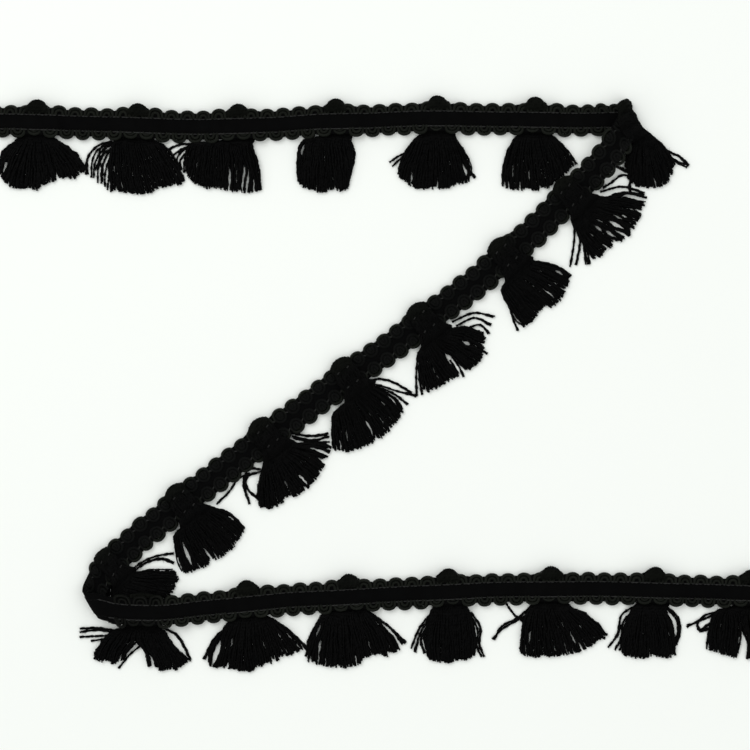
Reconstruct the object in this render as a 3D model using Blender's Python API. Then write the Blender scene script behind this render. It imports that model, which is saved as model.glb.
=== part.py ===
"""Tassel fringe trim laid in a flat zigzag: one scalloped heading braid folded twice, and its tassels."""

import math

import bmesh
import bpy
import numpy as np

# The layout is written in a plan grid, three steps to a millimetre, x to the right and y down
STEP = 1.0 / 3.0
PLAN_CENTRE = (393.35, 383.5)
MM = 0.001

# Heading braid
THICK = 2.2
HALF_TIP = 5.25
HALF_NOTCH = 4.0
CHANNEL_HALF = 2.3
CHANNEL_DROP = 0.5
PITCH = 16.0 * STEP
STATIONS_PER_PITCH = 4
TURN_LENGTH = 15.0

# The two folds: axis point, direction along the fold from head edge to skirt edge, roll radius
FOLD_ONE_AXIS = (626.0, 122.2)
FOLD_ONE_ANGLE = 63.2
FOLD_ONE_RADIUS = 1.6
FOLD_TWO_AXIS = (99.3, 598.0)
FOLD_TWO_ANGLE = 59.5
FOLD_TWO_RADIUS = 2.6

TOP_RUN = [
    (-13, 120.5), (0, 121), (32, 122), (104, 124), (165, 126), (207, 126.6), (270, 124.8), (312, 122),
    (365, 120.6), (410, 118.6), (470, 118.7), (500, 119.2), (577, 120.4), (605, 119.9), (624.6, 119.4),
]
DIAGONAL_RUN = [
    (627.4, 125.0), (610.6, 151.2), (599.6, 164.7), (588, 178), (553, 212.5), (531, 233.8), (519, 244),
    (481, 278), (455, 298), (406.5, 335), (305.7, 407.7), (224, 470), (156, 523.5), (142.5, 533.5),
    (131, 545), (119, 556.5), (108.5, 567.5), (100.5, 579.5), (94.3, 591.5),
]
LOWER_RUN = [
    (101.6, 606.0), (115, 609.3), (132, 610.8), (165, 611), (200, 607.6), (220, 605.6), (290, 599),
    (310, 598), (390, 593.7), (490, 589), (510, 588.5), (600, 588), (690, 590.3), (750, 592), (800, 593),
]

# Lift of the heading above the floor at points along the diagonal and the lower run
DIAGONAL_LIFT = [
    (627.4, 125.0, 3.2), (613, 147.5, 3.2), (604, 159.5, 2.5), (592, 173.5, 0.75), (584, 181.5, 0.0),
]
LOWER_LIFT = [(101.6, 606.0, 5.2), (118, 609, 3.9), (128, 610.5, 3.4), (158, 611, 3.3), (204, 607.2, 0.0)]

# Bundle of yarn where it crosses the heading
HUMP = 1.5
BUNDLE_HALF = 3.7
BUNDLE_HIGH = 1.2
LOCK_HIGH = 1.25
TIP_HIGH = 0.7
GAP = 0.3

# name, crossing point on the heading, side, neck ends, lock tips from one neck end to the other, locks, strays
TASSELS = [
    ("01", (38, 122), "under", (16, 141), (58, 141),
     [(0, 158), (2, 176), (9, 188), (24, 189), (37, 190), (50, 186), (60, 181), (75, 179), (88, 172), (80, 160)],
     11, []),
    ("02", (139, 125), "under", (104, 144), (159, 144),
     [(90, 163), (92, 177), (101, 187), (113, 194), (130, 193), (147, 194), (160, 189), (172, 186), (183, 181)],
     11, [[(112, 149), (97, 149), (88, 154)]]),
    ("03", (238, 126), "under", (185, 147), (247, 147),
     [(183, 165), (187, 173), (194, 181), (203, 187), (213, 191), (226, 192), (242, 192), (252, 192), (260, 190)],
     10, [[(190, 150), (181, 150), (175, 155)]]),
    ("04", (337, 121), "under", (305, 141), (350, 141),
     [(298, 182), (306, 188), (315, 191), (323, 193), (335, 191), (347, 189), (354, 180)],
     9, [[(310, 147), (300, 151), (297, 168)], [(346, 145), (352, 150), (355, 161)]]),
    ("05", (438, 118.5), "under", (415, 139), (456, 139),
     [(397, 176), (405, 184), (417, 189), (432, 190), (448, 190), (460, 187), (468, 183), (475, 177)],
     10, [[(419, 144), (403, 156), (391, 166)]]),
    ("06", (535, 119.5), "under", (511, 140), (560, 140),
     [(502, 182), (508, 189), (520, 190), (530, 190), (539, 189), (544, 182), (553, 171), (565, 163), (577, 157)],
     10, []),
    ("07", (625, 119), "fold", (634, 142), (655, 135),
     [(624, 167), (628, 179), (637, 185), (650, 186), (661, 187), (667, 182), (672, 174), (676, 165)],
     9, [[(653, 141), (669, 151), (681, 155), (689, 165)]]),
    ("08", (570, 195), "over", (602, 199), (572, 226),
     [(643, 192), (645, 201), (642, 212), (637, 223), (632, 236), (622, 245), (612, 250), (602, 257), (588, 264)],
     11, [[(572, 222), (574, 240), (571, 263)]]),
    ("09", (506, 255.5), "over", (533, 263), (505, 289),
     [(571, 276), (567, 286), (563, 297), (559, 306), (550, 311), (541, 315), (531, 322), (523, 329)],
     10, [[(509, 291), (512, 310), (516, 331)]]),
    ("10", (423.7, 322), "over", (452, 329), (422, 352),
     [(495, 317), (495, 327), (491, 340), (486, 352), (476, 363), (465, 376), (454, 381), (443, 387), (432, 392)],
     11, [[(426, 352), (418, 364), (419, 386)]]),
    ("11", (347.5, 377.5), "over", (375, 386), (334, 416),
     [(402, 402), (405, 412), (395, 425), (386, 436), (375, 445), (362, 450), (349, 452), (340, 451)],
     11, [[(374, 388), (394, 389), (409, 399)]]),
    ("12", (268, 436.5), "over", (297, 445), (267, 468),
     [(325, 437), (326, 449), (324, 463), (316, 479), (309, 489), (295, 497), (282, 503), (269, 508), (256, 507)],
     11, [[(271, 478), (257, 482), (249, 491), (252, 504)], [(271, 472), (255, 476), (240, 489), (221, 503)]]),
    ("13", (184, 501.5), "over", (213, 511), (182, 537),
     [(246, 530), (240, 540), (233, 549), (225, 556), (215, 562), (205, 567), (195, 571), (185, 572)],
     10, []),
    ("14", (112, 564.5), "tight", (135, 572), (125, 595),
     [(175, 570), (179, 577), (177, 584), (174, 590), (169, 598), (160, 604), (150, 606)],
     8, [[(131, 573), (146, 562), (158, 558), (175, 553)], [(133, 575), (148, 566), (160, 563), (175, 563)]]),
    ("15", (142, 611), "loop", (108, 632), (169, 631),
     [(93, 656), (98, 661), (108, 662), (119, 667), (128, 659), (149, 663), (156, 670), (166, 672), (176, 670), (184, 663)],
     11, [[(114, 636), (97, 629), (81, 629)], [(115, 640), (98, 636), (82, 638)], [(164, 638), (177, 642), (189, 659)]]),
    ("16", (249, 603), "under", (227, 623), (277, 622.5),
     [(208, 662), (216, 670), (228, 671), (240, 672), (252, 671), (263, 667), (277, 663), (289, 657)],
     10, [[(232, 629), (220, 641), (203, 658)], [(274, 628), (290, 634), (304, 649)]]),
    ("17", (349, 596), "under", (321, 616), (375, 615.5),
     [(305, 657), (312, 663), (325, 665), (337, 667), (348, 667), (360, 664), (373, 662), (385, 659), (398, 651)],
     11, [[(371, 620), (390, 628), (407, 641)]]),
    ("18", (450, 591), "under", (427, 611.5), (473, 611.5),
     [(411, 652), (420, 655), (429, 659), (439, 662), (449, 663), (460, 661), (470, 659), (480, 650)],
     10, [[(431, 616), (416, 632), (407, 648)], [(469, 615), (481, 629), (487, 648)]]),
    ("19", (550, 588), "under", (529, 608.5), (574, 608.5),
     [(520, 650), (529, 655), (538, 658), (552, 657), (565, 655), (578, 650), (590, 645), (600, 641), (607, 633)],
     10, [[(533, 613), (517, 622), (496, 637)]]),
    ("20", (653, 589), "under", (630, 609.5), (669, 609.5),
     [(613, 649), (621, 654), (634, 659), (647, 660), (659, 658), (670, 656), (678, 651)],
     9, [[(634, 614), (619, 628), (606, 645)], [(665, 613), (679, 626), (683, 644)]]),
    ("21", (749, 592), "under", (716, 613), (774, 612),
     [(707, 650), (714, 652), (723, 654), (738, 658), (752, 658), (765, 655), (777, 651), (787, 645)],
     10, [[(730, 617), (706, 618), (690, 626)], [(731, 620), (712, 627), (699, 640)]]),
]


def plan(point):
    return np.array([(point[0] - PLAN_CENTRE[0]) * STEP, (PLAN_CENTRE[1] - point[1]) * STEP])


def unit(vector):
    return vector / np.linalg.norm(vector)


def curve_through(points, per_span=24):
    """A centripetal Catmull-Rom curve through plan points."""
    knots = np.array([plan(point) for point in points])
    before = 2 * knots[0] - knots[1]
    after = 2 * knots[-1] - knots[-2]
    padded = np.vstack([before, knots, after])
    found = []
    for index in range(1, len(padded) - 2):
        p0, p1, p2, p3 = padded[index - 1:index + 3]
        t0 = 0.0
        t1 = t0 + math.sqrt(np.linalg.norm(p1 - p0))
        t2 = t1 + math.sqrt(np.linalg.norm(p2 - p1))
        t3 = t2 + math.sqrt(np.linalg.norm(p3 - p2))
        for t in np.linspace(t1, t2, per_span, endpoint=False):
            a1 = (t1 - t) / (t1 - t0) * p0 + (t - t0) / (t1 - t0) * p1
            a2 = (t2 - t) / (t2 - t1) * p1 + (t - t1) / (t2 - t1) * p2
            a3 = (t3 - t) / (t3 - t2) * p2 + (t - t2) / (t3 - t2) * p3
            b1 = (t2 - t) / (t2 - t0) * a1 + (t - t0) / (t2 - t0) * a2
            b2 = (t3 - t) / (t3 - t1) * a2 + (t - t1) / (t3 - t1) * a3
            found.append((t2 - t) / (t2 - t1) * b1 + (t - t1) / (t2 - t1) * b2)
    found.append(knots[-1])
    return np.array(found)


def lengths_along(points):
    return np.concatenate([[0.0], np.cumsum(np.linalg.norm(np.diff(points, axis=0), axis=1))])


def smooth(value):
    value = np.clip(value, 0.0, 1.0)
    return value * value * (3 - 2 * value)


def nearest_length(points, along, target):
    return along[np.argmin(np.linalg.norm(points - target, axis=1))]


class Run:
    """One flat run of the heading: its plan curve, its lift and the turn of its ribs at each end."""

    def __init__(self, points, side, turns, lifts, humps):
        self.points = curve_through(points)
        self.along = lengths_along(self.points)
        self.length = self.along[-1]
        self.side = side
        self.turns = turns
        self.lifts = [(nearest_length(self.points, self.along, plan(row[:2])), row[2]) for row in lifts]
        self.humps = [nearest_length(self.points, self.along, plan(row)) for row in humps]

    def at(self, length):
        return np.array([np.interp(length, self.along, self.points[:, axis]) for axis in (0, 1)])

    def direction(self, length):
        return unit(self.at(min(length + 0.6, self.length)) - self.at(max(length - 0.6, 0.0)))

    def lift(self, length):
        height = 0.0
        if self.lifts:
            if length >= self.lifts[-1][0]:
                height = self.lifts[-1][1]
            for (start, low), (end, high) in zip(self.lifts[:-1], self.lifts[1:]):
                if start <= length < end:
                    height = low + (high - low) * smooth((length - start) / (end - start))
        for middle in self.humps:
            height = max(height, HUMP * smooth((10.5 - abs(length - middle)) / 4.6))
        return height

    def rib(self, length):
        """Plan direction from the head edge to the skirt edge."""
        ahead = self.direction(length)
        square = np.array([ahead[1], -ahead[0]]) * self.side
        for at_end, fold in self.turns:
            gone = self.length - length if at_end else length
            share = smooth(1 - gone / TURN_LENGTH)
            square = unit(square * (1 - share) + fold * share)
        return square


def fold_direction(angle):
    return np.array([math.cos(math.radians(angle)), -math.sin(math.radians(angle))])


FOLD_ONE = fold_direction(FOLD_ONE_ANGLE)
FOLD_TWO = fold_direction(FOLD_TWO_ANGLE)
UNDER_TOP = [row[1] for row in TASSELS if row[2] == "under" and row[1][1] < 300]
UNDER_LOW = [row[1] for row in TASSELS if row[2] == "under" and row[1][1] > 300]
RUN_TOP = Run(TOP_RUN, 1.0, [(True, FOLD_ONE)], [], UNDER_TOP)
RUN_DIAGONAL = Run(DIAGONAL_RUN, -1.0, [(False, FOLD_ONE), (True, FOLD_TWO)], DIAGONAL_LIFT, [])
RUN_LOWER = Run(LOWER_RUN, 1.0, [(False, FOLD_TWO)], LOWER_LIFT, UNDER_LOW)


def roll(first, second, fold, radius, outward, count):
    """Centres round the roll of a fold, from the end of one run to the start of the next."""
    start = first.at(first.length)
    end = second.at(0.0)
    base = first.lift(first.length) + THICK / 2
    found = []
    for step in range(1, count):
        turn = math.pi * step / count
        flat = start + (end - start) * step / count + outward * radius * math.sin(turn)
        found.append((np.array([*flat, base + radius * (1 - math.cos(turn))]), fold))
    return found


def heading_frames():
    """Centre and rib direction at every station from one cut end to the other."""
    step = PITCH / STATIONS_PER_PITCH
    frames = []
    outward_one = np.array([-FOLD_ONE[1], FOLD_ONE[0]])
    outward_two = np.array([FOLD_TWO[1], -FOLD_TWO[0]])
    pieces = ((RUN_TOP, FOLD_ONE, FOLD_ONE_RADIUS, outward_one), (RUN_DIAGONAL, FOLD_TWO, FOLD_TWO_RADIUS, outward_two),
              (RUN_LOWER, None, 0.0, None))
    for index, (run, fold, radius, outward) in enumerate(pieces):
        count = round(run.length / step)
        for length in np.linspace(0.0, run.length, count + 1):
            frames.append((np.array([*run.at(length), run.lift(length) + THICK / 2]), run.rib(length)))
        if fold is not None:
            following = pieces[index + 1][0]
            frames += roll(run, following, fold, radius, outward, max(5, round(math.pi * radius / step)))
    return frames


def scallop(phase):
    """Half-width of an edge: round tips with a notch between each two."""
    part = (phase % 1.0) * 2 - 1
    return HALF_NOTCH + (HALF_TIP - HALF_NOTCH) * math.sqrt(max(0.0, 1 - abs(part) ** 2.4))


def heading_rings():
    frames = heading_frames()
    centres = np.array([centre for centre, _ in frames])
    rings = []
    for index, (centre, rib) in enumerate(frames):
        ahead = unit(centres[min(index + 1, len(frames) - 1)] - centres[max(index - 1, 0)])
        across = np.array([rib[0], rib[1], 0.0])
        front = np.cross(across, ahead)
        slant = np.linalg.norm(front)
        front = front / slant
        head = scallop(index / STATIONS_PER_PITCH)
        skirt = scallop(index / STATIONS_PER_PITCH + 0.5)
        half = THICK / 2
        section = [
            (-head, -0.15 * half), (-head * 0.76, half), (-CHANNEL_HALF, half - CHANNEL_DROP),
            (CHANNEL_HALF, half - CHANNEL_DROP), (skirt * 0.76, half), (skirt, -0.15 * half),
            (skirt * 0.8, -half), (-head * 0.8, -half),
        ]
        rings.append([centre + across * (a / slant) + front * b for a, b in section])
    return rings


def loft(rings, name, material, collection, hidden=False):
    """A closed skin over a row of like rings, with flat ends."""
    shape = bmesh.new()
    rows = [[shape.verts.new(np.asarray(point) * MM) for point in ring] for ring in rings]
    size = len(rings[0])
    for before, after in zip(rows[:-1], rows[1:]):
        for corner in range(size):
            following = (corner + 1) % size
            shape.faces.new((before[corner], before[following], after[following], after[corner]))
    shape.faces.new(rows[0])
    shape.faces.new(list(reversed(rows[-1])))
    bmesh.ops.recalc_face_normals(shape, faces=shape.faces)
    return finish(shape, name, material, collection, hidden)


def finish(shape, name, material, collection, hidden):
    mesh = bpy.data.meshes.new(name)
    shape.to_mesh(mesh)
    shape.free()
    made = bpy.data.objects.new(name, mesh)
    if material is not None:
        mesh.materials.append(material)
    made.hide_render = hidden
    collection.objects.link(made)
    return made


def slab(centre, across, half, low, high, shoulder=0.78):
    """One rounded flat section of a yarn bundle."""
    tall = high - low
    section = [
        (-half, low + 0.3 * tall), (-half, high - 0.35 * tall), (-half * shoulder, high), (half * shoulder, high),
        (half, high - 0.35 * tall), (half, low + 0.3 * tall), (half * 0.85, low), (-half * 0.85, low),
    ]
    return [np.array([*(centre + across * a), z]) for a, z in section]


CROSS_UNDER = [
    (-7.2, 3.1, 0.4, 2.0, 0.5), (-6.15, 4.1, 0.0, 2.7, 0.62), (-4.9, BUNDLE_HALF, 0.0, 1.2, 0.8),
    (5.0, BUNDLE_HALF + 0.4, 0.0, BUNDLE_HIGH, 0.8),
]
CROSS_OVER = [
    (-7.35, 3.1, 0.5, 2.7, 0.5), (-6.4, 4.1, 0.0, 3.6, 0.62), (-5.35, 4.0, 2.1, 3.8, 0.7),
    (-4.2, BUNDLE_HALF, 2.52, 3.75, 0.8), (4.2, BUNDLE_HALF + 0.2, 2.52, 3.7, 0.8), (5.35, 4.1, 2.1, 3.5, 0.8),
    (6.5, 4.6, 0.0, 2.5, 0.8),
]
CROSS_TIGHT = [(1.09 * a, 0.78 * half, low, high, shoulder) for a, half, low, high, shoulder in CROSS_OVER]
CROSS_LOOP = [
    (-7.4, 2.4, 2.2, 3.0, 0.5), (-6.2, 3.7, 1.95, 3.4, 0.62), (-4.6, BUNDLE_HALF, 1.95, 3.0, 0.8),
    (-0.6, BUNDLE_HALF, 1.95, 3.0, 0.8), (4.8, 4.6, 0.0, 1.9, 0.8),
]
# Along the first fold, outside its roll: distance along, distance out, half-width, low, high
CROSS_FOLD = [
    (-8.1, 1.9, 1.9, 0.8, 2.8, 0.5), (-7.2, 2.4, 2.7, 0.0, 3.8, 0.62), (-6.5, 3.1, 2.0, 0.0, 3.6, 0.7),
    (-5.6, 3.9, 0.8, 0.0, 3.3, 0.8), (5.2, 3.9, 0.8, 0.0, 3.0, 0.8), (6.5, 3.6, 2.2, 0.0, 2.4, 0.8),
]


def core_rings(row):
    """Knot, crossing, neck and shoulder of one tassel, and the line on which its locks start."""
    name, crossing, side, neck_a, neck_b, tips, count, strays = row
    end_a, end_b = plan(neck_a), plan(neck_b)
    across = unit(end_b - end_a)
    spread = across * (1.2 if side == "over" else 0.5)
    end_a, end_b = end_a - spread, end_b + spread
    rings = []
    if side == "fold":
        outward = np.array([-FOLD_ONE[1], FOLD_ONE[0]])
        origin = plan(FOLD_ONE_AXIS)
        for along, out, half, low, high, shoulder in CROSS_FOLD:
            centre = origin + FOLD_ONE * along + outward * out
            rings.append(slab(centre, outward, half, low, high, shoulder))
    else:
        run = RUN_TOP if crossing[1] < 300 else RUN_LOWER
        if side in ("over", "tight"):
            run = RUN_DIAGONAL
        length = nearest_length(run.points, run.along, plan(crossing))
        middle, skirtward, ahead = run.at(length), run.rib(length), run.direction(length)
        sideways = np.array([skirtward[1], -skirtward[0]])
        if np.dot(sideways, across) < 0:
            sideways = -sideways
        sections = {"under": CROSS_UNDER, "over": CROSS_OVER, "tight": CROSS_TIGHT, "loop": CROSS_LOOP}[side]
        for a, half, low, high, shoulder in sections:
            rings.append(slab(middle + skirtward * a, sideways, half, low, high, shoulder))
    neck = (end_a + end_b) / 2
    low_neck = side == "tight"
    neck_high = 1.45 if low_neck else 1.9
    rings.append(slab(neck, across, np.linalg.norm(end_b - end_a) / 2, 0.0, neck_high, 0.86))
    first, last = plan(tips[0]), plan(tips[-1])
    share = 0.3
    low_a, low_b = end_a + (first - end_a) * share, end_b + (last - end_b) * share
    deep = plan(tips[len(tips) // 2])
    drop = (deep - neck) * share - ((low_a + low_b) / 2 - neck)
    shift = drop - across * np.dot(drop, across)
    low_a, low_b = low_a + shift * 0.6, low_b + shift * 0.6
    rings.append(slab((low_a + low_b) / 2, unit(low_b - low_a), np.linalg.norm(low_b - low_a) / 2, 0.0, 1.45 if low_neck else 1.6, 0.9))
    return rings, neck, low_a, low_b


def sample(points, share):
    along = lengths_along(points)
    return np.array([np.interp(share * along[-1], along, points[:, axis]) for axis in (0, 1)])


def distance_to(point, line):
    best = 1e9
    for start, end in zip(line[:-1], line[1:]):
        edge = end - start
        share = np.clip(np.dot(point - start, edge) / max(np.dot(edge, edge), 1e-9), 0, 1)
        best = min(best, np.linalg.norm(point - start - edge * share))
    return best


def lock_lines(row, neck, low_a, low_b, chance):
    """Plan lines of the side-by-side locks of one skirt."""
    tips = np.array([plan(tip) for tip in row[5]])
    count = row[6]
    middle = (low_a + low_b) / 2
    inward = unit(neck - middle)
    lines = []
    for index in range(count):
        share = index / (count - 1)
        start = low_a + (low_b - low_a) * (0.055 + 0.89 * share)
        tip = sample(tips, share)
        tip = tip + unit(start - tip) * chance.uniform(0.0, 1.1)
        root = start + inward * 0.9
        bow = np.array([chance.uniform(-0.25, 0.25), chance.uniform(-0.25, 0.25)])
        mid = start + (tip - start) * 0.5 - inward * 0.35 + bow
        lines.append([root, mid, tip])
    return lines


def bar(line, widths, lows, highs):
    """A flat four-sided lock along a plan line."""
    rings = []
    for index, point in enumerate(line):
        ahead = unit(line[min(index + 1, len(line) - 1)] - line[max(index - 1, 0)])
        across = np.array([-ahead[1], ahead[0]]) * widths[index] / 2
        rings.append([
            np.array([*(point - across), lows[index]]), np.array([*(point + across), lows[index]]),
            np.array([*(point + across), highs[index]]), np.array([*(point - across), highs[index]]),
        ])
    return rings


def add_rings(shape, rings):
    rows = [[shape.verts.new(np.asarray(point) * MM) for point in ring] for ring in rings]
    for before, after in zip(rows[:-1], rows[1:]):
        for corner in range(4):
            following = (corner + 1) % 4
            shape.faces.new((before[corner], before[following], after[following], after[corner]))
    shape.faces.new(rows[0])
    shape.faces.new(list(reversed(rows[-1])))


def tassel(row, material, collection, helpers):
    chance = np.random.default_rng(int(row[0]) + 40)
    rings, neck, low_a, low_b = core_rings(row)
    core = loft(rings, "tassel_" + row[0], material, collection)
    shape = bmesh.new()
    lines = lock_lines(row, neck, low_a, low_b, chance)
    for index, line in enumerate(lines):
        beside = [lines[other] for other in (index - 1, index + 1) if 0 <= other < len(lines)]
        widths = []
        for point in line:
            room = min(distance_to(point, other) for other in beside) - GAP
            widths.append(float(np.clip(room, 0.45, 2.3)))
        widths[-1] = min(widths[-1] * 0.72, 1.5)
        high = LOCK_HIGH + chance.uniform(-0.12, 0.1)
        add_rings(shape, bar(line, widths, [0.2, 0.0, 0.0], [1.35, high, TIP_HIGH]))
    for stray in row[7]:
        line = [plan(point) for point in stray]
        size = len(line)
        add_rings(shape, bar(line, [0.8] * size, [0.25] + [0.0] * (size - 1), [1.15] + [0.85] * (size - 1)))
    bmesh.ops.recalc_face_normals(shape, faces=shape.faces)
    locks = finish(shape, "locks_" + row[0], None, helpers, True)
    union = core.modifiers.new("locks", "BOOLEAN")
    union.operation = "UNION"
    union.solver = "EXACT"
    union.object = locks
    union.use_self = True
    return core


def yarn(name, colour, roughness):
    made = bpy.data.materials.new(name)
    made.use_nodes = True
    shader = made.node_tree.nodes["Principled BSDF"]
    shader.inputs["Base Color"].default_value = (*colour, 1.0)
    shader.inputs["Roughness"].default_value = roughness
    return made


def main():
    for old in list(bpy.data.objects):
        bpy.data.objects.remove(old, do_unlink=True)
    collection = bpy.data.collections.new("fringe")
    helpers = bpy.data.collections.new("helpers")
    bpy.context.scene.collection.children.link(collection)
    bpy.context.scene.collection.children.link(helpers)
    gimp = yarn("heading_gimp", (0.012, 0.013, 0.012), 0.85)
    cotton = yarn("tassel_yarn", (0.010, 0.010, 0.011), 0.9)
    loft(heading_rings(), "heading", gimp, collection)
    for row in TASSELS:
        tassel(row, cotton, collection, helpers)


main()
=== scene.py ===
"""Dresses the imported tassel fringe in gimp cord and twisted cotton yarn, on a pale floor under soft light."""

import math

import bpy
import numpy as np
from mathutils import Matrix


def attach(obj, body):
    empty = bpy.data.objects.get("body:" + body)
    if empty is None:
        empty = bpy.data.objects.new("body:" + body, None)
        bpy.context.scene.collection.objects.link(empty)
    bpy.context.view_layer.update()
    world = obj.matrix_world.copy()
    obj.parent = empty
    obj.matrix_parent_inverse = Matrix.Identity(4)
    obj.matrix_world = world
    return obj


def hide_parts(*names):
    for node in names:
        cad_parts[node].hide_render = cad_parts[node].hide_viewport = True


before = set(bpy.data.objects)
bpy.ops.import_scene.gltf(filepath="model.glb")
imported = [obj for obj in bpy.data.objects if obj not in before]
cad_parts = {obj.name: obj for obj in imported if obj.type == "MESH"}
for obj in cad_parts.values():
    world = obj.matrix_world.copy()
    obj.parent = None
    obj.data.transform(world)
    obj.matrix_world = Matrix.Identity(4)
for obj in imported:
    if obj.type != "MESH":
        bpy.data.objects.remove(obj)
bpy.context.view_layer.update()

# The layout is written in a plan grid, three steps to a millimetre, x to the right and y down
STEP = 1.0 / 3.0
PLAN_CENTRE = (393.35, 383.5)
UPPER_HALF = 300
MM = 0.001
FLOOR_CLEAR = 0.00003
WHOLE_TURN = 6.28

# The braid, in millimetres: how it turns into a fold, and how it rises over a bundle beneath it
THICK = 2.2
PITCH = 16.0 * STEP
STATIONS_PER_PITCH = 4
FEWEST_IN_A_ROLL = 5
TURN_LENGTH = 15.0
LOOK_AHEAD = 0.6
HUMP = 1.5
HUMP_REACH = 10.5
HUMP_SLOPE = 4.6

# The folds: a place on the axis in the plan grid, angles in degrees and radii in millimetres
FOLD_ONE_AXIS = (626.0, 122.2)
FOLD_ONE_ANGLE = 63.2
FOLD_ONE_RADIUS = 1.6
FOLD_TWO_ANGLE = 59.5
FOLD_TWO_RADIUS = 2.6

# The braid's centreline, run by run
TOP_RUN = [
    (-13, 120.5), (0, 121), (32, 122), (104, 124), (165, 126), (207, 126.6), (270, 124.8), (312, 122),
    (365, 120.6), (410, 118.6), (470, 118.7), (500, 119.2), (577, 120.4), (605, 119.9), (624.6, 119.4),
]
DIAGONAL_RUN = [
    (627.4, 125.0), (610.6, 151.2), (599.6, 164.7), (588, 178), (553, 212.5), (531, 233.8), (519, 244),
    (481, 278), (455, 298), (406.5, 335), (305.7, 407.7), (224, 470), (156, 523.5), (142.5, 533.5),
    (131, 545), (119, 556.5), (108.5, 567.5), (100.5, 579.5), (94.3, 591.5),
]
LOWER_RUN = [
    (101.6, 606.0), (115, 609.3), (132, 610.8), (165, 611), (200, 607.6), (220, 605.6), (290, 599),
    (310, 598), (390, 593.7), (490, 589), (510, 588.5), (600, 588), (690, 590.3), (750, 592), (800, 593),
]
# A place on a run in the plan grid, and how far the run is lifted there in millimetres
DIAGONAL_LIFT = [
    (627.4, 125.0, 3.2), (613, 147.5, 3.2), (604, 159.5, 2.5), (592, 173.5, 0.75), (584, 181.5, 0.0),
]
LOWER_LIFT = [(101.6, 606.0, 5.2), (118, 609, 3.9), (128, 610.5, 3.4), (158, 611, 3.3), (204, 607.2, 0.0)]

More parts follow.
